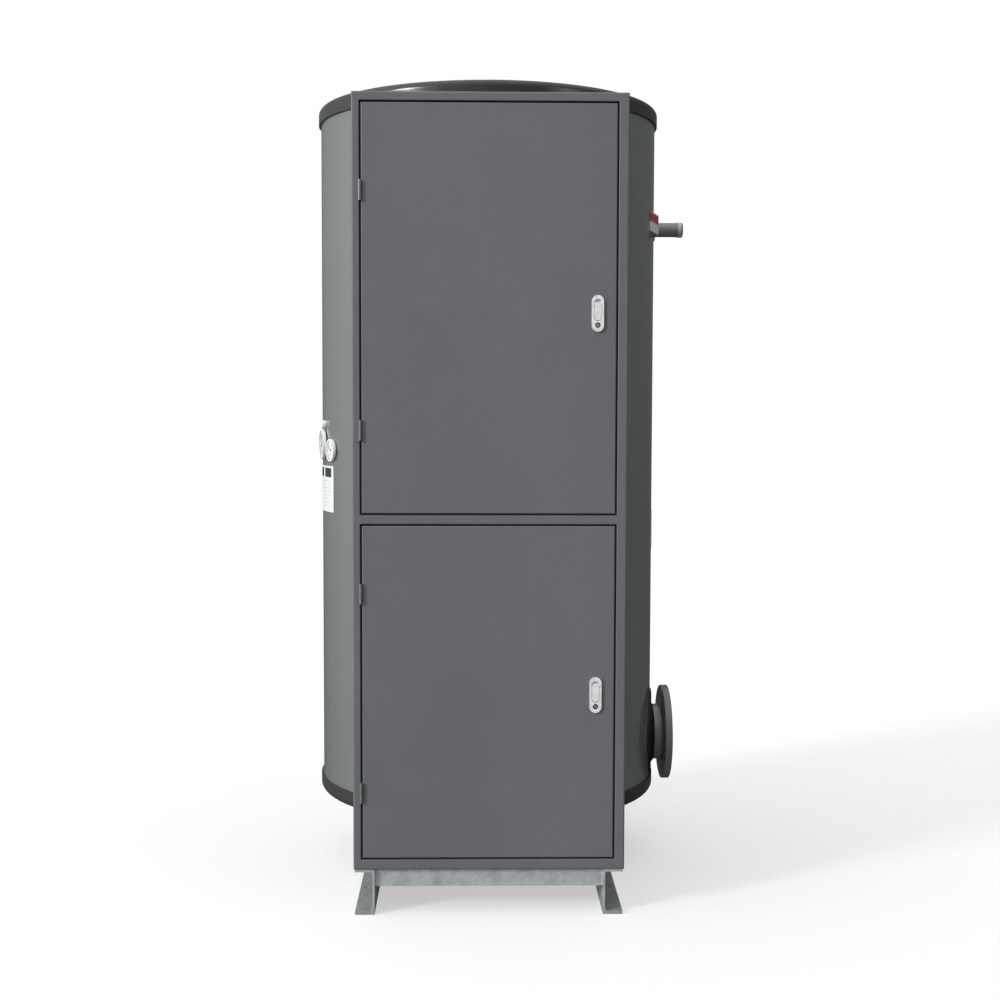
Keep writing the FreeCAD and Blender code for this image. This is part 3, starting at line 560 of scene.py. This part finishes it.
def rivets():
    """Blind rivets down both edges of the back seam."""
    low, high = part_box("jacket_seam")
    parts = []
    rows, margin = 14, 0.05
    for row in range(rows):
        height = low.z + margin + (high.z - low.z - 2 * margin) * row / (rows - 1)
        for side in (-1, 1):
            angle = math.pi + side * math.radians(1.15)
            normal = on_jacket(angle, 1.0, 0.0)
            parts.append(disc(on_jacket(angle, RIVET_FACE, height), normal, 0.0032, 0.0014, steps=12))
    piece("seam_rivets", *merge(parts), weld_steel, slot="jacket_paint")


plate_details()
dial("large_gauge", math.radians(-76), 0.045, 0.009, ["0", "40", "80", "120"], 0.52)
dial("small_gauge", math.radians(-65), 0.0325, 0.008, ["0", "4", "8", "12"], 0.28)
welds()
jacket_hem()
rivets()


# ---------------------------------------------------------------- floor, light and camera

def floor():
    """A pale floor out to the horizon, which throws no light on the boiler."""
    size = 60
    corners = [(-size, -size, 0), (size, -size, 0), (size, size, 0), (-size, size, 0)]
    mesh = bpy.data.meshes.new("floor")
    mesh.from_pydata(corners, [], [(0, 1, 2, 3)])
    item = bpy.data.objects.new("floor", mesh)
    bpy.context.scene.collection.objects.link(item)
    paint = Paint("floor_pale", (0.42, 0.42, 0.42), 0.9, specular=0.1)
    paint.shader.inputs["Emission Color"].default_value = (1, 1, 1, 1)
    paint.shader.inputs["Emission Strength"].default_value = 0.52
    mesh.materials.append(paint.material)
    item.visible_diffuse = False
    item.visible_glossy = False


def soft_sun(name, place, strength, spread):
    """An even light whose rays come from the direction of a place, spread over some degrees."""
    data = bpy.data.lights.new(name, "SUN")
    data.energy = strength
    data.angle = math.radians(spread)
    item = bpy.data.objects.new(name, data)
    item.location = place
    item.rotation_euler = (-Vector(place)).to_track_quat("-Z", "Y").to_euler()
    bpy.context.scene.collection.objects.link(item)


def room():
    """Pale surroundings, brighter on the left than on the right; plain white where the camera sees them."""
    backdrop = (1, 1, 1, 1)
    world = bpy.data.worlds.new("room")
    bpy.context.scene.world = world
    world.use_nodes = True
    tree = world.node_tree
    tree.nodes.clear()

    def add(kind):
        return tree.nodes.new(kind)

    source = add("ShaderNodeTexCoord")
    split = add("ShaderNodeSeparateXYZ")
    tree.links.new(source.outputs["Generated"], split.inputs["Vector"])

    def gradient(output, low, stops):
        span = add("ShaderNodeMapRange")
        span.inputs["From Min"].default_value = low
        tree.links.new(output, span.inputs["Value"])
        ramp = add("ShaderNodeValToRGB")
        elements = ramp.color_ramp.elements
        while len(elements) < len(stops):
            elements.new(0.5)
        for element, (position, level) in zip(elements, stops):
            element.position = position
            element.color = (level, level, level, 1)
        tree.links.new(span.outputs["Result"], ramp.inputs["Fac"])
        return ramp.outputs["Color"]

    def combine(operation, first, second):
        item = add("ShaderNodeVectorMath")
        item.operation = operation
        tree.links.new(first, item.inputs[0])
        tree.links.new(second, item.inputs[1])
        return item.outputs["Vector"]

    from_left = [(0.0, 1.50), (0.12, 1.10), (0.3, 0.85), (0.5, 0.54), (0.75, 0.36), (1.0, 0.32)]
    sides = gradient(split.outputs["X"], -1, from_left)
    behind = gradient(split.outputs["Y"], -1, [(0.0, 1.0), (0.5, 1.0), (0.80, 0.50), (1.0, 0.25)])
    above = gradient(split.outputs["Z"], 0, [(0.45, 0.0), (1.0, 0.9)])
    below = gradient(split.outputs["Z"], -1, [(0.0, 0.30), (0.35, 0.45), (0.55, 1.0)])
    total = combine("ADD", combine("MULTIPLY", combine("MULTIPLY", sides, behind), below), above)
    seen = add("ShaderNodeBackground")
    seen.inputs["Color"].default_value = backdrop
    lit = add("ShaderNodeBackground")
    tree.links.new(total, lit.inputs["Color"])
    path = add("ShaderNodeLightPath")
    join = add("ShaderNodeMixShader")
    tree.links.new(path.outputs["Is Camera Ray"], join.inputs["Fac"])
    tree.links.new(lit.outputs["Background"], join.inputs[1])
    tree.links.new(seen.outputs["Background"], join.inputs[2])
    output = add("ShaderNodeOutputWorld")
    tree.links.new(join.outputs["Shader"], output.inputs["Surface"])


def camera():
    data = bpy.data.cameras.new("camera")
    data.lens = 54.92
    data.sensor_width = 36
    data.clip_end = 120
    item = bpy.data.objects.new("camera", data)
    item.location = (-0.0495, -4.664, 1.372)
    yaw, pitch, roll = math.radians(1.085), math.radians(3.505), math.radians(0.141)
    turned = (Matrix.Rotation(-yaw, 3, "Z") @ Matrix.Rotation(math.pi / 2 - pitch, 3, "X")
              @ Matrix.Rotation(roll, 3, "Z"))
    item.rotation_euler = turned.to_euler()
    bpy.context.scene.collection.objects.link(item)
    bpy.context.scene.camera = item


floor()
room()
soft_sun("key", place=(-3.3, -2.1, 1.4), strength=2.4, spread=12)
soft_sun("fill", place=(3.0, -2.2, 1.2), strength=0.28, spread=20)
camera()
bpy.context.scene.view_settings.view_transform = "Standard"
